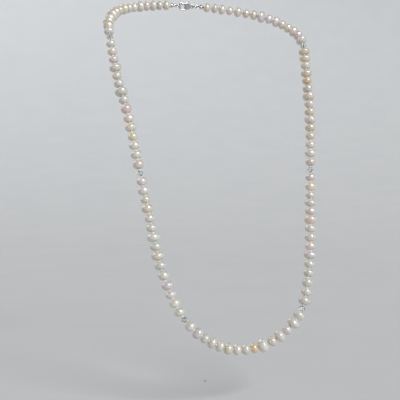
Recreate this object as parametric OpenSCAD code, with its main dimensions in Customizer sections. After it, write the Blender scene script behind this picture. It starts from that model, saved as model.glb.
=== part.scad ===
// Pearl necklace: one continuous loop of off-round drilled pearls, knotted on silk, with a small
// bicone crystal after every run of pearls and a lobster clasp at the nape.
// Millimetres. +X is the viewer's right, -Y the front, +Z up. The origin is on the neck's own axis,
// level with the shoulders that carry the strand.

/* [Pearls] */
// Diameter of the drilled hole through every pearl
pearl_bore = 0.8; // [0.7:0.05:0.9]
// Space between the end faces of two neighbouring pearls, where the knot sits
knot_gap = 0.6; // [0.5:0.05:0.8]
// Diameter of the silk knot between two pearls
knot_d = 1.1; // [0.9:0.05:1.2]

/* [Thread] */
// Diameter of the silk beading thread
thread_d = 0.6; // [0.4:0.05:0.6]
// Clearance round a knot that its neighbour turns on
joint_clear = 0.08; // [0.06:0.01:0.1]

/* [Crystals] */
// Diameter across the widest facets of a bicone crystal
crystal_d = 4; // [3.5:0.1:4.4]
// Length of a bicone crystal along the thread
crystal_l = 3.4; // [3:0.1:3.6]
// Diameter of the hole through a crystal
crystal_bore = 0.8; // [0.7:0.05:0.9]

/* [Clasp] */
// Outside diameter of the two jump rings
ring_d = 4.5; // [4.4:0.05:4.6]
// Wire diameter of the two jump rings
ring_wire = 0.7; // [0.6:0.05:0.7]
// Thickness of the clasp's cheeks, with the lever between them
clasp_t = 2.4; // [2.3:0.05:2.6]
// Thickness of the lever
lever_t = 1.1; // [1:0.05:1.1]
// Outside diameter of the round cup of a bead tip
cup_d = 3; // [2.8:0.1:3.1]

/* [Hidden] */
$fn = 40;

// ---- Names ----
SIDE_RUNS = 10;
function two_digits(n) = n < 10 ? str("0", n) : str(n);
function numbered(stem) = [for (n = [1:SIDE_RUNS]) str(stem, two_digits(n))];

// ---- Stringing order ----
// One letter for each pearl, from the nape down the right side, along the bottom and up the left
// side. Each line is the run between two crystals.
STRINGING = [
    "rsfrprfwrpsrfrb",
    "bbfpslwrfwfrrpr",
    "rlsbfwfpfwrrlrp",
    "pwrwrgsrfpffspl",
    "rrfplpwfwrrpspr",
    "lpfrprlrwrswsrs",
    "srfrwprfsrprfsr"];
// Length along the thread and width across it, for each kind of pearl
function pearl_size(kind) =
    kind == "s" ? [4.2, 5.8] :  // small
    kind == "f" ? [4.5, 6.4] :  // flat-sided
    kind == "r" ? [4.9, 6.0] :  // nearly round
    kind == "p" ? [5.0, 6.8] :  // potato
    kind == "l" ? [5.5, 6.3] :  // long
    kind == "w" ? [5.0, 7.4] :  // wide
    kind == "b" ? [4.2, 7.0] :  // button
    [6.0, 8.2];                 // the one large ringed pearl
RUN = len(STRINGING[0]);
PART = RUN / 3;
RUNS = len(STRINGING);
PARTS = 3 * RUNS;
CENTRE = (PARTS - 1) / 2;

// Every item on the thread, in order: [length, width, is it a crystal]
items = [for (run = [0:RUNS - 1]) each concat(
    [for (kind = STRINGING[run]) concat(pearl_size(kind), [false])],
    run < RUNS - 1 ? [[crystal_l, crystal_d, true]] : [])];
LAST = len(items);

// ---- Bead tips: a round cup that hides the end knot, with a loop for the jump ring ----
cup_r = cup_d / 2;
cup_wall = 0.28;
cup_hole_d = thread_d + 0.2;
cup_stand = cup_r + 0.1;                // from a cup's centre to the first pearl's face
end_knot_d = 1.9;
loop_wire_r = 0.28;
loop_r = 0.9;
loop_u = cup_r + loop_r + 0.05;         // from the cup's centre to its loop's centre

// ---- Clasp, measured along the line of pull u from its tail eye, and across it v ----
eye_r = 1.3;
eye_hole_r = 0.7;
eye_t = 1.2;
neck_w = 1.8;                           // width of the bridge from the eye to the boss
hub = [3.4, 0.9];                       // where the lever turns
boss_r = 2.2;
cheek_gap = lever_t + 0.2;
slot_start = [1.15, -0.5];
slot_size = [4.9, 4];
hook_u = 6.4;
hook_r = 2.35;
hook_wire_r = 0.55;
hook_start = 152;                       // angle at which the hook leaves the boss
hook_tip = 74;                          // angle at which the hook ends, over the lever's nose
ring_room = 0.1;                        // between the hook's wire and the ring inside it

hub_r = 1;
nose = [6.85, 1.22];
nose_r = 0.36;
thumb = [2.3, 3.1];
thumb_r = 0.45;
arm_root_r = 0.6;
arm_sides = 32;

rivet_d = 0.7;
rivet_fit = 0.02;                       // in the cheeks' holes
lever_fit = 0.12;                       // in the lever's hole
rivet_head_d = 1.1;
rivet_head_t = 0.18;
spring_floor = -0.05;                   // bottom of the spring's pocket, from the lever's middle
pocket_r = 0.82;
spring_r = 0.72;
spring_hole_r = 0.47;
spring_room = 0.03;

ring_r = (ring_d - ring_wire) / 2;
reach = loop_u + 2 * ring_r;            // from a cup's centre to the far wire of its ring
catch_u = hook_u + hook_r - hook_wire_r - ring_wire / 2 - ring_room;
clasp_chord = 2 * reach + catch_u;      // between the two cups' centres

// ---- Route of the strand, as it is worn ----
// Points on one side, from the nape, over the shoulder, down the chest to the middle of the front
HALF_ROUTE = [
    [0, 37, 31], [19, 35, 30], [37, 28, 27], [52, 17, 22], [61, 4, 14], [64, -8, 4],
    [62, -19, -23], [59, -29, -43], [55, -38, -73], [51, -46, -103], [46, -55, -134],
    [36, -64, -160], [18, -66, -175], [0, -66, -179]];
SAMPLES = 12;  // steps between two route points

HALF = len(HALF_ROUTE) - 1;
function mirrored(p) = [-p.x, p.y, p.z];
raw_route = concat(HALF_ROUTE, [for (n = [HALF - 1:-1:1]) mirrored(HALF_ROUTE[n])]);
COUNT = len(raw_route);
function corner(n) = raw_route[(n + COUNT) % COUNT];
// Catmull-Rom curve through the route's points
function smooth(n, t) =
    let (a = corner(n - 1), b = corner(n), c = corner(n + 1), d = corner(n + 2))
    (2 * b + (c - a) * t + (2 * a - 5 * b + 4 * c - d) * t * t
        + (3 * b - a - 3 * c + d) * t * t * t) / 2;
raw_path = [for (n = [0:COUNT - 1], k = [0:SAMPLES - 1]) smooth(n, k / SAMPLES), corner(0)];
STEPS = len(raw_path) - 1;
function running(v) = [for (n = 0, sum = 0; n < len(v); sum = sum + (n < len(v) - 1 ? v[n] : 0),
    n = n + 1) sum];
raw_steps = [for (n = [0:STEPS]) n < STEPS ? norm(raw_path[n + 1] - raw_path[n]) : 0];
raw_reached = running(raw_steps);

// The route is scaled a little, so that it closes on the strand's own length. The clasp lies along
// a chord of the bend at the nape, so it takes up a little more of the route than its own length.
item_room = [for (item = items) item[0] + knot_gap];
reach_items = running(concat(item_room, [0]));
strand_length = reach_items[LAST];
nape_bend_r = 46;
clasp_arc = clasp_chord * (1 + pow(clasp_chord / nape_bend_r, 2) / 24);
first_knot = clasp_arc / 2 + cup_stand - knot_gap / 2;
total_length = strand_length + 2 * first_knot;
route_scale = total_length / raw_reached[STEPS];
path = raw_path * route_scale;
reached = raw_reached * route_scale;

function find(s, low, high) = high - low <= 1 ? low :
    let (mid = floor((low + high) / 2)) reached[mid] <= s ? find(s, mid, high) : find(s, low, mid);
function at(s) = let (n = find(s, 0, STEPS))
    path[n] + (path[n + 1] - path[n]) * (s - reached[n]) / (reached[n + 1] - reached[n]);
knots = [for (n = [0:LAST]) at(first_knot + reach_items[n])];

function unit(v) = v / norm(v);
function item_axis(n) = unit(knots[n + 1] - knots[n]);
function item_centre(n) = (knots[n] + knots[n + 1]) / 2;

// ---- Parts of the strand: each run between crystals bends at two knots and at its ends ----
function part_start(part) = (RUN + 1) * floor(part / 3) + PART * (part % 3);
// The crystal between two parts stays with the part that is nearer the nape
function thread_start(part) =
    part_start(part) - (part > CENTRE && part % 3 == 0 ? 1 : 0);
function thread_end(part) =
    part_start(part) + PART + (part < CENTRE && part % 3 == 2 ? 1 : 0);
// A part turns on the knot at its end that is nearer the nape; the middle part turns on both
function hung_at_start(part) = part > 0 && part <= CENTRE;
function hung_at_end(part) = part < PARTS - 1 && part >= CENTRE;

module along(from, direction) {
    turn = [0, acos(direction.z), atan2(direction.y, direction.x)];
    translate(from) rotate(turn) children();
}

module pearl(length, width) {
    half = length / 2;
    rotate_extrude() difference() {
        intersection() {
            union() {
                translate([width / 2 - half, 0]) circle(r = half);
                translate([0, -half]) square([width / 2 - half, length]);
            }
            translate([0, -half]) square([width, length]);
        }
        translate([0, -length]) square([pearl_bore / 2, 2 * length]);
        for (end = [-1, 1]) translate([0, end * (half + knot_gap / 2)])
            circle(r = knot_d / 2 + joint_clear);
    }
}

module pearls(part) {
    color("ivory") for (n = [part_start(part):part_start(part) + PART - 1])
        along(item_centre(n), item_axis(n)) pearl(items[n][0], items[n][1]);
}

module crystal(n) {
    facets = 6;
    tip_d = 1.5;  // wider than the mouth that the knot sits in
    mouth_d = knot_d + 2 * joint_clear;
    color("lightcyan") along(item_centre(n), item_axis(n)) difference() {
        union() for (side = [0, 1]) mirror([0, 0, side])
            cylinder(h = crystal_l / 2, d1 = crystal_d, d2 = tip_d, $fn = facets);
        cylinder(h = 2 * crystal_l, d = crystal_bore, center = true);
        for (end = [-1, 1]) translate([0, 0, end * (crystal_l + knot_gap) / 2]) sphere(d = mouth_d);
    }
}

module cord(from, to) {
    along(from, unit(to - from)) cylinder(h = norm(to - from), d = thread_d);
}

// ---- Ends of the strand: the silk runs on from the first and the last pearl into a bead tip ----
cup_shift = cup_stand - knot_gap / 2;
function cup_centre(side) = side > 0 ? knots[0] - cup_shift * item_axis(0)
    : knots[LAST] + cup_shift * item_axis(LAST - 1);

// At a knot that a part turns on, the knot belongs to its neighbour and the silk stops just clear
stand_off = knot_d / 2 + joint_clear;
function silk_from(part, n) = n > thread_start(part) ? knots[n]
    : part == 0 ? cup_centre(1)
    : hung_at_start(part) ? knots[n] + stand_off * item_axis(n)
    : knots[n];
function silk_to(part, n) = n + 1 < thread_end(part) ? knots[n + 1]
    : part == PARTS - 1 ? cup_centre(-1)
    : hung_at_end(part) ? knots[n + 1] - stand_off * item_axis(n)
    : knots[n + 1];

// Every knot has its poles on the silk, so that the silk leaves it round a pole
module knot(centre, direction, d) {
    along(centre, direction) sphere(d = d);
}

// The silk through one part, with the knots that it carries
module thread(part) {
    first = thread_start(part) + (hung_at_start(part) || part == 0 ? 1 : 0);
    last = thread_end(part) - (hung_at_end(part) || part == PARTS - 1 ? 1 : 0);
    color("wheat") union() {
        for (n = [thread_start(part):thread_end(part) - 1]) cord(silk_from(part, n), silk_to(part, n));
        for (n = [first:last]) knot(knots[n], item_axis(min(n, LAST - 1)), knot_d);
        if (part == 0) knot(cup_centre(1), item_axis(0), end_knot_d);
        if (part == PARTS - 1) knot(cup_centre(-1), item_axis(LAST - 1), end_knot_d);
    }
}

module bead_tip(side) {
    inward = side > 0 ? item_axis(0) : -item_axis(LAST - 1);
    centre = cup_centre(side);
    color("silver") difference() {
        union() {
            translate(centre) rotate([0, 0, 90]) sphere(d = cup_d);
            translate(loop_centre(side)) rotate([90, 0, 0]) ring(loop_r, loop_wire_r);
        }
        translate(centre) rotate([0, 0, 90]) sphere(d = cup_d - 2 * cup_wall);
        along(centre, inward) cylinder(h = cup_d, d = cup_hole_d);
    }
}

module ring(r, wire_r) {
    rotate_extrude() translate([r, 0]) circle(r = wire_r);
}

// ---- Clasp, drawn with u along x and up along y, then stood up at the nape ----
clasp_mid = (cup_centre(1) + cup_centre(-1)) / 2;
function loop_centre(side) = clasp_mid + [side * (clasp_chord / 2 - loop_u), 0, 0];

module at_clasp() {
    translate(clasp_mid) rotate([0, 0, 180]) rotate([90, 0, 0])
        translate([reach - clasp_chord / 2, 0, 0]) children();
}

// Lies flat across the clasp, through an eye or the hook
module jump_ring(u) {
    color("silver") at_clasp() translate([u, 0, 0]) rotate([90, 0, 0]) ring(ring_r, ring_wire / 2);
}

// Boss and eye, opened for the ring, the lever and the rivet, with the hook round the catch ring
module clasp_body() {
    opening_r = hook_r - hook_wire_r - ring_room;
    through = 2 * clasp_t;
    color("silver") at_clasp() union() {
        difference() {
            union() {
                translate([hub.x, 0, 0]) cylinder(r = boss_r, h = clasp_t, center = true);
                cylinder(r = eye_r, h = eye_t, center = true);
                translate([0, -neck_w / 2, -eye_t / 2]) cube([hub.x, neck_w, eye_t]);
            }
            cylinder(r = eye_hole_r, h = through, center = true);
            translate([hook_u, 0, 0]) cylinder(r = opening_r, h = through, center = true);
            translate([slot_start.x, slot_start.y, -cheek_gap / 2])
                cube([slot_size.x, slot_size.y, cheek_gap]);
            translate(hub) cylinder(d = rivet_d + rivet_fit, h = through, center = true);
        }
        translate([hook_u, 0, 0]) rotate([0, 0, -hook_start])
            rotate_extrude(angle = hook_start + hook_tip)
            translate([hook_r, 0]) circle(r = hook_wire_r);
    }
}

module clasp_lever() {
    color("gainsboro") at_clasp() difference() {
        union() {
            translate(hub) cylinder(r = hub_r, h = lever_t, center = true);
            arm(hub, nose, nose_r);
            arm(hub, thumb, thumb_r);
        }
        translate(hub) cylinder(d = rivet_d + lever_fit, h = 2 * lever_t, center = true);
        translate([hub.x, hub.y, spring_floor]) cylinder(r = pocket_r, h = lever_t);
    }
}

// A straight arm that tapers from the hub to a round end
module arm(from, to, end_r) {
    linear_extrude(lever_t, center = true) hull() {
        translate(from) circle(r = arm_root_r, $fn = arm_sides);
        translate(to) circle(r = end_r, $fn = arm_sides);
    }
}

// The torsion spring round the rivet, as a plain tube
module clasp_spring() {
    color("dimgray") at_clasp() translate([hub.x, hub.y, spring_floor + spring_room]) difference() {
        cylinder(r = spring_r, h = lever_t / 2);
        translate([0, 0, -lever_t / 2]) cylinder(r = spring_hole_r, h = 2 * lever_t);
    }
}

module clasp_rivet() {
    color("silver") at_clasp() translate(hub) {
        cylinder(d = rivet_d, h = clasp_t, center = true);
        for (side = [0, 1]) mirror([0, 0, side]) translate([0, 0, clasp_t / 2])
            cylinder(d = rivet_head_d, h = rivet_head_t);
    }
}

// ---- The assembly ----
for (part = [0:CENTRE - 1]) {
    pearls(part);
    pearls(PARTS - 1 - part);
    thread(part);
    thread(PARTS - 1 - part);
}
pearls(CENTRE);  // centre_pearls
thread(CENTRE);  // centre_thread
for (n = [1:3]) {
    crystal((RUN + 1) * n - 1);
    crystal(LAST - (RUN + 1) * n);
}
bead_tip(1);  // right_bead_tip
bead_tip(-1);  // left_bead_tip
jump_ring(-ring_r);  // tail_ring
jump_ring(catch_u + ring_r);  // catch_ring
clasp_body();
clasp_lever();
clasp_spring();
clasp_rivet();
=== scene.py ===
import math

import bmesh
import bpy
import numpy as np
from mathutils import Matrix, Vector


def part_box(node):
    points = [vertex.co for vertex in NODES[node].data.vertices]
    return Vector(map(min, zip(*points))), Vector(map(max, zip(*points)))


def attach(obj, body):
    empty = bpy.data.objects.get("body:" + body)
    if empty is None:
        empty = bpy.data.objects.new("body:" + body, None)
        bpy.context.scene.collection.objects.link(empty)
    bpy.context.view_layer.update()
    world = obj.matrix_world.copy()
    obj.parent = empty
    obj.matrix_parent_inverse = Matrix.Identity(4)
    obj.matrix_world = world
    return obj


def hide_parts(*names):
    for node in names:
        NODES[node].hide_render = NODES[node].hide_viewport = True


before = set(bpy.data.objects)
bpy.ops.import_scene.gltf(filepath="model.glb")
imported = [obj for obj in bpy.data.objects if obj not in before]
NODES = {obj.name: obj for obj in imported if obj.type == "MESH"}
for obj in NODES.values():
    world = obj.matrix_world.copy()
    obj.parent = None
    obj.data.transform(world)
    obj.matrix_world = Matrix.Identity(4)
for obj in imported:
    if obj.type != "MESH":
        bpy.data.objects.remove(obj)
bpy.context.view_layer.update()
MM = 0.001
SEED = 61

# ---------------------------------------------------------------- camera
LOOK_AT = Vector((-0.018, -0.040, -0.093))
VIEW_AZIMUTH = math.radians(-20)
VIEW_ELEVATION = math.radians(3)
VIEW_DISTANCE = 0.52
SENSOR_MM = 36
LENS_MM = 81


def towards_camera():
    flat = math.cos(VIEW_ELEVATION)
    return Vector((math.sin(VIEW_AZIMUTH) * flat, -math.cos(VIEW_AZIMUTH) * flat,
                   math.sin(VIEW_ELEVATION)))


def aim(obj, target):
    """Turns a camera or a light so that it looks at a point."""
    obj.rotation_euler = (target - obj.location).to_track_quat("-Z", "Y").to_euler()


def make_camera():
    data = bpy.data.cameras.new("camera")
    data.sensor_width = SENSOR_MM
    data.lens = LENS_MM
    camera = bpy.data.objects.new("camera", data)
    bpy.context.scene.collection.objects.link(camera)
    camera.location = LOOK_AT + towards_camera() * VIEW_DISTANCE
    aim(camera, LOOK_AT)
    bpy.context.scene.camera = camera


make_camera()


# ---------------------------------------------------------------- shader helpers
class Shader:
    """One material's node tree, with short ways to add and join nodes."""

    def __init__(self, name):
        self.material = bpy.data.materials.new(name)
        self.material.use_nodes = True
        self.tree = self.material.node_tree
        self.surface = self.tree.nodes["Principled BSDF"]
        self.place = self.add("ShaderNodeTexCoord").outputs["Object"]

    def add(self, kind, **values):
        node = self.tree.nodes.new(kind)
        for name, value in values.items():
            node.inputs[name.replace("_", " ")].default_value = value
        return node

    def join(self, output, node, socket):
        self.tree.links.new(output, node.inputs[socket])

    def set(self, **values):
        """Plain values on the surface's own sockets."""
        for name, value in values.items():
            self.surface.inputs[name.replace("_", " ")].default_value = value

    def noise(self, size_mm, detail=3.0, roughness=0.5, distortion=0.0):
        """Noise whose blotches are about size_mm across."""
        node = self.add("ShaderNodeTexNoise", Scale=1 / (size_mm * MM), Detail=detail,
                        Roughness=roughness, Distortion=distortion)
        self.join(self.place, node, "Vector")
        return node.outputs["Fac"]

    def ramp(self, fac, stops):
        """Colours along a factor: stops are (position, (r, g, b))."""
        node = self.add("ShaderNodeValToRGB")
        points = node.color_ramp.elements
        while len(points) < len(stops):
            points.new(1.0)
        for point, (position, colour) in zip(points, stops):
            point.position = position
            point.color = (*colour, 1)
        self.join(fac, node, "Fac")
        return node.outputs["Color"]

    def mix(self, kind, amount, first, second):
        """Blends two colours; a colour mix keeps its colour sockets at 6 and 7, its result at 2."""
        node = self.add("ShaderNodeMix")
        node.data_type = "RGBA"
        node.blend_type = kind
        node.inputs[0].default_value = amount
        self.tree.links.new(first, node.inputs[6])
        self.tree.links.new(second, node.inputs[7])
        return node.outputs[2]

    def rough(self, fac, low, high):
        """Roughness from low to high over the range that noise really covers, 0.3 to 0.7."""
        node = self.add("ShaderNodeMapRange", To_Min=low, To_Max=high)
        node.inputs["From Min"].default_value = 0.3
        node.inputs["From Max"].default_value = 0.7
        self.join(fac, node, "Value")
        self.join(node.outputs["Result"], self.surface, "Roughness")

    def bump(self, height, strength, depth_mm):
        """Fine relief that a height pattern gives the surface."""
        node = self.add("ShaderNodeBump", Strength=strength, Distance=depth_mm * MM)
        self.join(height, node, "Height")
        self.join(node.outputs["Normal"], self.surface, "Normal")


# ---------------------------------------------------------------- materials
def nacre():
    """Pearl: each one's own tint, clouded with pink and green, under a clear glossy skin."""
    s = Shader("nacre")
    tint = s.add("ShaderNodeAttribute")
    tint.attribute_name = "tint"
    clouds = s.ramp(s.noise(3.2, 3, 0.55, 0.4), [
        (0.34, (1.0, 0.85, 0.84)), (0.46, (1.0, 0.97, 0.95)),
        (0.54, (0.97, 0.99, 0.96)), (0.66, (0.86, 0.92, 0.86))])
    mottle = s.ramp(s.noise(0.7, 4, 0.6), [(0.3, (0.90, 0.88, 0.86)), (0.6, (1.0, 1.0, 1.0))])
    clouded = s.mix("MULTIPLY", 0.55, tint.outputs["Color"], clouds)
    s.join(s.mix("MULTIPLY", 0.35, clouded, mottle), s.surface, "Base Color")
    s.rough(s.noise(1.4, 3), 0.24, 0.38)
    s.bump(s.noise(0.9, 3, 0.5, 0.6), 0.16, 0.05)
    s.set(Subsurface_Weight=0.2, Subsurface_Radius=(1.0, 0.75, 0.55), Subsurface_Scale=0.9 * MM,
          Coat_Weight=1.0, Coat_Roughness=0.13, Coat_IOR=1.9, IOR=1.7, Metallic=0.2,
          Thin_Film_Thickness=300.0, Thin_Film_IOR=1.38)
    return s.material


def silk():
    """Cream silk: matt and fibrous, and it lets some light through."""
    s = Shader("silk")
    shade = s.ramp(s.noise(0.5, 3), [(0.3, (0.90, 0.84, 0.70)), (0.7, (0.98, 0.95, 0.87))])
    s.join(shade, s.surface, "Base Color")
    s.rough(s.noise(0.2, 2), 0.55, 0.85)
    s.bump(s.noise(0.08, 5, 0.7), 0.6, 0.03)
    s.set(Sheen_Weight=0.3, Sheen_Roughness=0.4,
          Subsurface_Weight=0.5, Subsurface_Radius=(1.0, 0.9, 0.7), Subsurface_Scale=0.5 * MM)
    return s.material


def cut_glass():
    """Clear crystal with a faint blue cast."""
    s = Shader("cut_glass")
    s.join(s.ramp(s.noise(2.0, 2), [(0.3, (0.88, 0.95, 0.98)), (0.7, (0.97, 0.98, 0.98))]),
           s.surface, "Base Color")
    s.rough(s.noise(0.4, 3), 0.01, 0.05)
    s.bump(s.noise(0.9, 2), 0.05, 0.01)
    s.set(Transmission_Weight=1.0, IOR=1.56)
    return s.material


def metal(name, dark, light, roughest, grain_mm):
    """Polished metal with slightly duller and darker patches."""
    s = Shader(name)
    s.join(s.ramp(s.noise(1.1, 4, 0.6), [(0.3, dark), (0.65, light)]), s.surface, "Base Color")
    s.rough(s.noise(0.35, 5, 0.65, 1.0), 0.4 * roughest, roughest)
    s.bump(s.noise(grain_mm, 4, 0.6), 0.2, 0.02)
    s.set(Metallic=1.0)
    return s.material


def paper():
    """The floor: matt, pale and almost even."""
    s = Shader("paper")
    s.join(s.ramp(s.noise(60, 3), [(0.3, (0.60, 0.605, 0.61)), (0.7, (0.62, 0.62, 0.62))]),
           s.surface, "Base Color")
    s.rough(s.noise(4, 3), 0.8, 0.95)
    return s.material


NACRE = nacre()
SILK = silk()
GLASS = cut_glass()
SILVER = metal("polished_silver", (0.58, 0.56, 0.53), (0.84, 0.83, 0.81), 0.24, 0.3)
SPRING_STEEL = metal("spring_steel", (0.22, 0.22, 0.24), (0.42, 0.43, 0.45), 0.5, 0.1)


# ---------------------------------------------------------------- mesh helpers
def piece(name, parts, material, body, smooth=True):
    """One object from a list of (points, faces) in metres, riding on a body."""
    points, faces = [], []
    for part_points, part_faces in parts:
        start = len(points)
        points.extend(part_points)
        faces.extend([tuple(start + n for n in face) for face in part_faces])
    mesh = bpy.data.meshes.new(name)
    mesh.from_pydata(points, [], faces)
    mesh.polygons.foreach_set("use_smooth", [smooth] * len(mesh.polygons))
    mesh.materials.append(material)
    obj = bpy.data.objects.new(name, mesh)
    bpy.context.scene.collection.objects.link(obj)
    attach(obj, body)
    return obj


def grid_faces(rows, columns):
    """Quads over a grid that closes both ways."""
    return [(r * columns + c, r * columns + (c + 1) % columns,
             (r + 1) % rows * columns + (c + 1) % columns, (r + 1) % rows * columns + c)
            for r in range(rows) for c in range(columns)]


START_NORMAL = (0.31, 0.57, 0.76)  # a direction that no path starts along


def tube(path, radius, sides=6, closed=False):
    """A round tube along a path, with its rings turned as little as possible."""
    path = np.array(path, float)
    step = np.roll(path, -1, 0) - np.roll(path, 1, 0) if closed else np.gradient(path, axis=0)
    tangent = step / np.linalg.norm(step, axis=1)[:, None]
    normal = np.cross(tangent[0], START_NORMAL)
    angle = np.arange(sides) * 2 * math.pi / sides
    points = []
    for centre, along in zip(path, tangent):
        normal = normal - along * (normal @ along)
        normal = normal / np.linalg.norm(normal)
        across = np.cross(along, normal)
        ring = centre + radius * (np.outer(np.cos(angle), normal) + np.outer(np.sin(angle), across))
        points.extend(ring)
    faces = grid_faces(len(path), sides)
    if not closed:
        faces = faces[:-sides] + [tuple(range(sides - 1, -1, -1)),
                                  tuple(range(len(points) - sides, len(points)))]
    return points, faces


SAME_POINT = 0.0005 * MM


def solids(node):
    """The points of each separate solid of a CAD node."""
    bm = bmesh.new()
    bm.from_mesh(NODES[node].data)
    bmesh.ops.remove_doubles(bm, verts=bm.verts, dist=SAME_POINT)
    unseen = set(bm.verts)
    found = []
    while unseen:
        front = [unseen.pop()]
        group = []
        while front:
            vert = front.pop()
            group.append(tuple(vert.co))
            for edge in vert.link_edges:
                other = edge.other_vert(vert)
                if other in unseen:
                    unseen.remove(other)
                    front.append(other)
        found.append(np.array(group))
    bm.free()
    return found


# ---------------------------------------------------------------- the strand, read from the CAD
SIDE_PARTS = 10
PEARLS_PER_PART = 5
CRYSTAL_AFTER = {3: 1, 6: 2, 9: 3}  # level of the part that carries each crystal: its number
BORE_R = 0.4 * MM
# How near the axis a point has to be, in bore radii, to count as the hole's wall: the first
# guess of the axis is poor, and each narrower look at the wall makes it more exact
WALL_LIMITS = (3, 3, 2.4, 1.9, 1.6, 1.4, 1.2, 1.1)


def part_names():
    """(side, level) of each part, from the right of the nape round to its left."""
    right = [("right", n) for n in range(1, SIDE_PARTS + 1)]
    return right + [("centre", None)] + [("left", n) for _, n in reversed(right)]


def node_name(what, side, level):
    return f"centre_{what}" if level is None else f"{side}_{what}_{level:02d}"


def body_of(level):
    if level is None:
        return "front"
    return "nape" if level == 1 else f"strand_{level:02d}"


def box_middle(points):
    return (points.min(axis=0) + points.max(axis=0)) / 2


class Item:
    """A drilled bead on the silk: its centre, the way its hole runs, its length and radius."""

    def __init__(self, points, onward):
        self.centre = box_middle(points)
        axis = onward / np.linalg.norm(onward)
        away_from_centre = points - self.centre
        for limit in WALL_LIMITS:
            ahead = away_from_centre @ axis > 0
            wall = np.linalg.norm(np.cross(away_from_centre, axis), axis=1) < limit * BORE_R
            axis = points[wall & ahead].mean(axis=0) - points[wall & ~ahead].mean(axis=0)
            axis /= np.linalg.norm(axis)
        self.axis = axis
        self.half = np.abs(away_from_centre @ axis).max()
        self.radius = np.linalg.norm(np.cross(away_from_centre, axis), axis=1).max()

    def end(self, way):
        """Where the silk leaves the bead: ahead of it (1) or behind it (-1)."""
        return self.centre + way * self.half * self.axis


def read_strand():
    """[(side, level, beads in order along the silk)], a crystal being the bead that is the
    farthest from the clasp in its part."""
    names = part_names()
    middles = [sum(map(Vector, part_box(node_name("pearls", *n))), Vector()) / 2 for n in names]
    parts = []
    for n, (side, level) in enumerate(names):
        onward = np.array(middles[min(n + 1, len(names) - 1)] - middles[max(n - 1, 0)])
        found = solids(node_name("pearls", side, level))
        if level in CRYSTAL_AFTER:
            found += solids(f"{side}_crystal_{CRYSTAL_AFTER[level]}")
        parts.append((side, level, sorted(found, key=lambda points: box_middle(points) @ onward)))
    ways = iter(np.gradient([box_middle(points) for part in parts for points in part[2]], axis=0))
    return [(side, level, [Item(points, next(ways)) for points in found])
            for side, level, found in parts]


STRAND = read_strand()


# ---------------------------------------------------------------- pearls
OUTLINE_STEPS = 30
SEGMENTS = 48
FULLER = 0.05  # what a pearl's waist gains, to make up for its dents
MOUTH_R = 0.55 * MM  # the drill hole's rim, which is rounded down to the bore by way of the lip
LIP_R = 0.47 * MM
LIP_DEPTH = 0.114 * MM
BORE_DEPTH = 0.228 * MM
ANY_TURN = 6.3  # a random angle is drawn from zero to about a full turn
LEANNESS = (0.0, 0.5)  # between which the random outlines of pearls lie: see pearl_outline
# Soft waves that dent a pearl: how many radians of wave across its radius, and how deep
DENT_WAVES = ((1.6, 0.010), (3.0, 0.006), (6.5, 0.003))
WAVES_OF_EACH = 4
OVALS = (0.0, 0.07)  # how much narrower a pearl is one way across, as a share of its radius
TILTS = (0.02, 0.08)  # how lopsided it is, as a share of its radius
LEAN_SOFTNESS = 0.05
MOST_RINGS = 2
RING_LATITUDE = 0.8  # the farthest from the waist that a ring lies, in radians
RING_WOBBLE = 0.08
RING_WIDTH = 0.09
RING_DEPTHS = (0.008, 0.024)
SPIKE_WIDTH = 0.12
# Latitudes, in radians, where the flat of the disc and the dents have faded out near the mouth
DISC_END = 1.35
DENTS_END = 1.42

CREAM = (0.80, 0.74, 0.62)
WHITE = (0.80, 0.78, 0.72)
GREY = (0.72, 0.72, 0.66)
ROSE = (0.80, 0.73, 0.68)
GOLD = (0.82, 0.67, 0.45)
LILAC = (0.77, 0.73, 0.73)
TINTS = [CREAM, WHITE, GREY, ROSE, LILAC]
HIGH_WEIGHTS = np.array((0.45, 0.25, 0.05, 0.2, 0.05))  # how common each tint is at the neck
LOW_WEIGHTS = np.array((0.12, 0.42, 0.2, 0.14, 0.12))   # and at the bottom of the front
HIGH_Z = 0.02
LOW_Z = -0.14
BRIGHTNESSES = (0.93, 1.03)
TINT_SPREAD = 0.012

# Pearls that stand out in the photo, by side, level and place in their part: golden ones, the
# large ringed one, the pear with a pointed bump and the crooked one below the corner crystal
SPECIAL = {
    ("right", 4, 4): {"tint": GOLD},
    ("centre", None, 1): {"tint": GOLD},
    ("centre", None, 0): {"rings": 3, "tilt": 0.12},
    ("right", 9, 4): {"spike": 0.24},
    ("right", 10, 0): {"tilt": 0.15, "spike": 0.1},
}


def smooth_step(x):
    """0 to 1 without a corner at either end."""
    x = np.clip(x, 0, 1)
    return x * x * (3 - 2 * x)


def pearl_outline(item, leanness):
    """(radius, height, latitude) from mouth to mouth. At leanness 0 the side is a half circle
    round a flat disc, at 1 it is an ellipse of the same length and width."""
    disc_r = (item.radius - item.half) * (1 - leanness)
    mouth_latitude = math.acos(MOUTH_R / item.radius)
    latitude = np.linspace(-mouth_latitude, mouth_latitude, OUTLINE_STEPS)
    short_of_mouth = smooth_step((DISC_END - abs(latitude)) * 3)
    radius = item.radius * np.cos(latitude) + disc_r * (1 - np.cos(latitude)) * short_of_mouth
    return radius, item.half * np.sin(latitude), latitude


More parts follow.
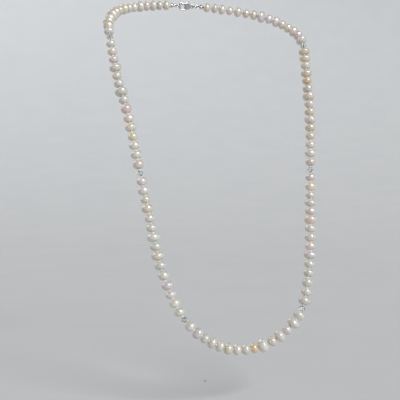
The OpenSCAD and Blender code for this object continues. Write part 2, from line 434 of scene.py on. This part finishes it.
def pearl_dents(lat, lon, direction, rng, special):
    """How far each point of a pearl's skin lies inside its smooth outline, as a share of it."""
    dent = np.zeros_like(lat)
    for size, depth in DENT_WAVES:
        for _ in range(WAVES_OF_EACH):
            wave = rng.normal(size=3)
            wave *= size / np.linalg.norm(wave)
            dent += depth / 2 * (1 + np.sin(direction @ wave + rng.uniform(0, ANY_TURN))) / 2
    oval = rng.uniform(*OVALS)
    dent += oval * np.sin(lon - rng.uniform(0, ANY_TURN)) ** 2 * np.cos(lat) ** 2
    tilt = special.get("tilt", rng.uniform(*TILTS))
    lean = np.sin(2 * lat) * np.cos(lon - rng.uniform(0, ANY_TURN))
    dent += tilt * (lean + np.sqrt(lean ** 2 + LEAN_SOFTNESS)) / 2  # on the leaning side only
    for _ in range(special.get("rings", int(rng.integers(0, MOST_RINGS + 1)))):
        place = rng.uniform(-RING_LATITUDE, RING_LATITUDE)
        place = place + RING_WOBBLE * np.sin(lon + rng.uniform(0, ANY_TURN))
        dent += rng.uniform(*RING_DEPTHS) * np.exp(-((lat - place) / RING_WIDTH) ** 2)
    return dent * smooth_step((DENTS_END - abs(lat)) * 4)  # the mouths stay round


def pearl_spike(item, direction):
    """A pointed bump on the viewer's right: 1 at its tip, falling off fast around it."""
    first, second = cross_axes(item.axis)
    side = np.array((first[0], second[0], 0.0))
    side /= np.linalg.norm(side)
    return np.exp(-(1 - direction @ side) / SPIKE_WIDTH)


def pearl_shape(item, rng, special):
    """Rings of points of a slightly misshapen drilled pearl: up the outside, down the bore."""
    radius, height, latitude = pearl_outline(item, rng.uniform(*LEANNESS))
    longitude = np.arange(SEGMENTS) * 2 * math.pi / SEGMENTS
    lat, lon = np.meshgrid(latitude, longitude, indexing="ij")
    direction = np.stack([np.cos(lat) * np.cos(lon), np.cos(lat) * np.sin(lon), np.sin(lat)], -1)
    grow = 1 - pearl_dents(lat, lon, direction, rng, special) + FULLER * np.cos(lat) ** 4
    if "spike" in special:
        grow += special["spike"] * pearl_spike(item, direction)
    outside = np.stack([radius[:, None] * grow * np.cos(lon), radius[:, None] * grow * np.sin(lon),
                        height[:, None] * grow], -1)
    inside = [ring_at(LIP_R, item.half - LIP_DEPTH), ring_at(BORE_R, item.half - BORE_DEPTH),
              ring_at(BORE_R, BORE_DEPTH - item.half), ring_at(LIP_R, LIP_DEPTH - item.half)]
    return np.concatenate([outside, inside])


def ring_at(radius, height):
    turn = np.arange(SEGMENTS) * 2 * math.pi / SEGMENTS
    return np.stack([radius * np.cos(turn), radius * np.sin(turn), np.full(SEGMENTS, height)], -1)


def cross_axes(axis):
    """Two directions at right angles to an axis."""
    first = np.cross(axis, (0.0, 0.0, 1.0) if abs(axis[2]) < 0.9 else (0.0, 1.0, 0.0))
    first /= np.linalg.norm(first)
    return first, np.cross(axis, first)


def place_on(item, points):
    """Moves rings of points from a bead's own axes to where the bead is, as one list."""
    first, second = cross_axes(item.axis)
    return item.centre + points.reshape(-1, 3) @ np.array([first, second, item.axis])


def pearl_tint(item, rng, special):
    """One of the tints, whiter and greyer ones being commoner lower down, and a little varied."""
    low = smooth_step((HIGH_Z - item.centre[2]) / (HIGH_Z - LOW_Z))
    weights = HIGH_WEIGHTS * (1 - low) + LOW_WEIGHTS * low
    usual = TINTS[rng.choice(len(TINTS), p=weights / weights.sum())]
    colour = np.array(special.get("tint", usual))
    colour = colour * rng.uniform(*BRIGHTNESSES) + rng.normal(0, TINT_SPREAD, 3)
    return np.clip(colour, 0, 1)


def make_pearls(number, side, level, items):
    shapes, tints = [], []
    for place, item in enumerate(items):
        rng = np.random.default_rng([SEED, number, place])
        special = SPECIAL.get((side, level, place), {})
        rings = pearl_shape(item, rng, special)
        points = place_on(item, rings)
        shapes.append((points, grid_faces(len(rings), SEGMENTS)))
        tints.extend([(*pearl_tint(item, rng, special), 1.0)] * len(points))
    name = node_name("pearls", side, level)
    obj = piece(f"{name}_nacre", shapes, NACRE, body_of(level))
    layer = obj.data.color_attributes.new("tint", "FLOAT_COLOR", "POINT")
    layer.data.foreach_set("color", np.array(tints, np.float32).ravel())
    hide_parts(name)


# ---------------------------------------------------------------- silk
PLIES = 2
PLY_R = 0.15 * MM
PLY_PITCH = 1.3 * MM
PLY_STEP = 0.14 * MM
KNOT_R = 0.8 * MM  # across the silk, between two beads of one part
KNOT_HALF = 0.53 * MM  # along the silk
TURNING_KNOT_R = 0.5 * MM  # where two parts meet, so that the next bead can swing round it
TURNING_KNOT_HALF = 0.47 * MM
KNOT_STAND_OFF = 0.72 * MM  # from the middle of a turning knot to the next part's silk
END_KNOT_R = 0.9 * MM  # the round end knot inside a bead tip
CUP_R = 1.5 * MM


def overhand_knot(centre, axis, radius, half):
    """A drawn-up overhand knot: a trefoil of thick thread with the silk through its middle.
    The trefoil's loops reach 3 across for each unit, so radius and half are its true outside."""
    thread = 0.35 * half
    across = (radius - thread) / 3
    along = half - thread
    turn = np.linspace(0, 2 * math.pi, 48, endpoint=False)
    curve = np.stack([across * (np.sin(turn) + 2 * np.sin(2 * turn)),
                      across * (np.cos(turn) - 2 * np.cos(2 * turn)),
                      -along * np.sin(3 * turn)], -1)
    first, second = cross_axes(axis)
    return tube(centre + curve @ np.array([first, second, axis]), thread, 8, closed=True)


def twisted_silk(corners):
    """Plies that wind round each other along straight runs between the knots."""
    corners = np.array(corners)
    runs = np.linalg.norm(np.diff(corners, axis=0), axis=1)
    reached = np.concatenate([[0], np.cumsum(runs)])
    along = np.linspace(0, reached[-1], int(reached[-1] / PLY_STEP))
    middle = np.stack([np.interp(along, reached, corners[:, k]) for k in range(3)], -1)
    whole_way = corners[-1] - corners[0]
    first, second = cross_axes(whole_way / np.linalg.norm(whole_way))
    plies = []
    for ply in range(PLIES):
        turn = 2 * math.pi * (along / PLY_PITCH + ply / PLIES)
        swing = np.outer(np.cos(turn), first) + np.outer(np.sin(turn), second)
        plies.append(tube(middle + PLY_R * swing, PLY_R))
    return plies


def cup_centre(side):
    """The middle of a bead tip's round cup, which is at the tip's outer end and fills it up and
    down."""
    low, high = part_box(f"{side}_bead_tip")
    x = high.x - CUP_R if side == "right" else low.x + CUP_R
    return np.array((x, (low.y + high.y) / 2, (low.z + high.z) / 2))


def make_silk(side, level, items, before, after):
    """A part's silk and knots, from its beads and the beads next to them on other parts.
    The knot that two parts turn on belongs to the part nearer the clasp."""
    knots = [(a.end(1) + b.end(-1)) / 2 for a, b in zip(items, items[1:])]
    tied = [(centre, bead.axis, KNOT_R, KNOT_HALF) for centre, bead in zip(knots, items)]
    ends = []
    for way, bead, neighbour in ((-1, items[0], before), (1, items[-1], after)):
        towards_clasp = (way < 0) == (side == "right")
        if neighbour is None:
            end = cup_centre(side)
            tied.append((end, bead.axis, END_KNOT_R, END_KNOT_R))
        else:
            end = (bead.end(way) + neighbour.end(-way)) / 2
            if towards_clasp or side == "centre":
                end = end - way * KNOT_STAND_OFF * bead.axis
            else:
                tied.append((end, bead.axis, TURNING_KNOT_R, TURNING_KNOT_HALF))
        ends.append(end)
    shapes = [overhand_knot(*knot) for knot in tied] + twisted_silk([ends[0], *knots, ends[1]])
    name = node_name("thread", side, level)
    obj = piece(f"{name}_silk", shapes, SILK, body_of(level))
    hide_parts(name)


# ---------------------------------------------------------------- crystals
FACETS = 12
NARROW_FACET_R = 0.91  # the girdle's corners between the main ones, as a share of its radius
GIRDLE_HALF = 0.12 * MM  # half the height of the narrow band round the widest place
CRYSTAL_TIP_R = 0.66 * MM


def crystal_shape(item):
    """Rings of points of a drilled bicone: up the outside, then down the bore. It has six main
    facets a side and six narrower ones between."""
    turn = np.arange(FACETS) * 2 * math.pi / FACETS
    girdle = item.radius * np.where(np.arange(FACETS) % 2 == 0, 1.0, NARROW_FACET_R)
    bore_half = item.half - GIRDLE_HALF
    rings = [(CRYSTAL_TIP_R, -item.half), (girdle, -GIRDLE_HALF), (girdle, GIRDLE_HALF),
             (CRYSTAL_TIP_R, item.half), (BORE_R, bore_half), (BORE_R, -bore_half)]
    return np.stack([np.stack([r * np.cos(turn), r * np.sin(turn), np.full(FACETS, z)], -1)
                     for r, z in rings])


def make_crystal(side, level, item):
    name = f"{side}_crystal_{CRYSTAL_AFTER[level]}"
    rings = crystal_shape(item)
    shape = (place_on(item, rings), grid_faces(len(rings), FACETS))
    obj = piece(f"{name}_cut", [shape], GLASS, name, smooth=False)
    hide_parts(name)


for number, (side, level, items) in enumerate(STRAND):
    before = STRAND[number - 1][2][-1] if number > 0 else None
    after = STRAND[number + 1][2][0] if number + 1 < len(STRAND) else None
    make_silk(side, level, items, before, after)
    crystals = items[PEARLS_PER_PART:] if side == "right" else items[:-PEARLS_PER_PART]
    make_pearls(number, side, level, [item for item in items if item not in crystals])
    for item in crystals:
        make_crystal(side, level, item)


# ---------------------------------------------------------------- clasp
def cast_copy(node, body, voxel_mm):
    """The CAD piece with its edges softened, as a cast and polished piece has them."""
    obj = bpy.data.objects.new(f"{node}_cast", NODES[node].data.copy())
    bpy.context.scene.collection.objects.link(obj)
    remesh = obj.modifiers.new("remesh", "REMESH")
    remesh.mode = "VOXEL"
    remesh.voxel_size = voxel_mm * MM
    soften = obj.modifiers.new("soften", "SMOOTH")
    soften.iterations = 4
    soften.factor = 0.5
    depsgraph = bpy.context.evaluated_depsgraph_get()
    mesh = bpy.data.meshes.new_from_object(obj.evaluated_get(depsgraph))
    obj.modifiers.clear()
    obj.data = mesh
    mesh.polygons.foreach_set("use_smooth", [True] * len(mesh.polygons))
    mesh.materials.clear()
    mesh.materials.append(SILVER)
    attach(obj, body)
    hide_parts(node)


SPRING_TURNS = 3
SPRING_WIRE_R = 0.07 * MM
CAD_METAL = ("tail_ring", "catch_ring", "right_bead_tip", "left_bead_tip", "clasp_rivet")


def make_spring():
    """Turns of wire round the rivet, in place of the CAD's plain tube."""
    low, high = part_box("clasp_spring")
    middle = (low + high) / 2
    radius = (high.x - low.x) / 2 - SPRING_WIRE_R
    way = np.linspace(0, 1, SPRING_TURNS * 24 + 1)
    turn = 2 * math.pi * SPRING_TURNS * way
    depth = high.y - low.y - 2 * SPRING_WIRE_R
    coil = np.stack([middle.x + radius * np.cos(turn), low.y + SPRING_WIRE_R + depth * way,
                     middle.z + radius * np.sin(turn)], -1)
    obj = piece("clasp_spring_coil", [tube(coil, SPRING_WIRE_R, 8)], SPRING_STEEL, "clasp")
    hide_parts("clasp_spring")


cast_copy("clasp_body", "clasp", 0.07)
cast_copy("clasp_lever", "lever", 0.06)
make_spring()
for node in CAD_METAL:
    for slot in NODES[node].material_slots:
        slot.material = SILVER


# ---------------------------------------------------------------- stage and light
FLOOR_Z = -0.21
INNER_R = 0.001
FLAT_R = 0.7
BEND_R = 1.9
EDGE_HEIGHT = 1.0
FLOOR_SIDES = 96


def make_floor():
    """A round pale floor whose edge curves up far out, all the way round."""
    bend = np.linspace(0, math.pi / 2, 17)
    profile = [(INNER_R, 0.0)] + [(FLAT_R + BEND_R * math.sin(a), EDGE_HEIGHT * (1 - math.cos(a)))
                                for a in bend]
    turns = [2 * math.pi * k / FLOOR_SIDES for k in range(FLOOR_SIDES)]
    points = [(r * math.sin(a), r * math.cos(a), FLOOR_Z + z) for r, z in profile for a in turns]
    faces = grid_faces(len(profile), FLOOR_SIDES)[:-FLOOR_SIDES]
    mesh = bpy.data.meshes.new("floor")
    mesh.from_pydata(points, [], faces)
    mesh.polygons.foreach_set("use_smooth", [True] * len(mesh.polygons))
    mesh.materials.append(paper())
    floor = bpy.data.objects.new("floor", mesh)
    bpy.context.scene.collection.objects.link(floor)


def sun(name, towards, strength, width_deg, colour):
    """A sun lamp that shines from a direction; its width makes the shadows and highlights soft."""
    data = bpy.data.lights.new(name, "SUN")
    data.energy = strength
    data.angle = math.radians(width_deg)
    data.color = colour
    lamp = bpy.data.objects.new(name, data)
    bpy.context.scene.collection.objects.link(lamp)
    lamp.location = LOOK_AT + Vector(towards)
    aim(lamp, LOOK_AT)


def make_light():
    """A broad key from the camera's upper right, and weaker light from behind and below."""
    sun("key", (0.29, -0.79, 0.57), 3.0, 28, (0.92, 0.96, 1.0))
    sun("back", (-0.5, 0.7, 0.7), 0.7, 40, (1.0, 0.97, 0.92))
    sun("low_fill", (-0.7, -0.5, -0.03), 0.2, 60, (1.0, 0.86, 0.68))
    world = bpy.data.worlds.new("world")
    world.use_nodes = True
    background = world.node_tree.nodes["Background"]
    background.inputs["Color"].default_value = (1.0, 0.97, 0.93, 1)
    background.inputs["Strength"].default_value = 0.14
    bpy.context.scene.world = world
    bpy.context.scene.view_settings.view_transform = "Standard"


make_floor()
make_light()
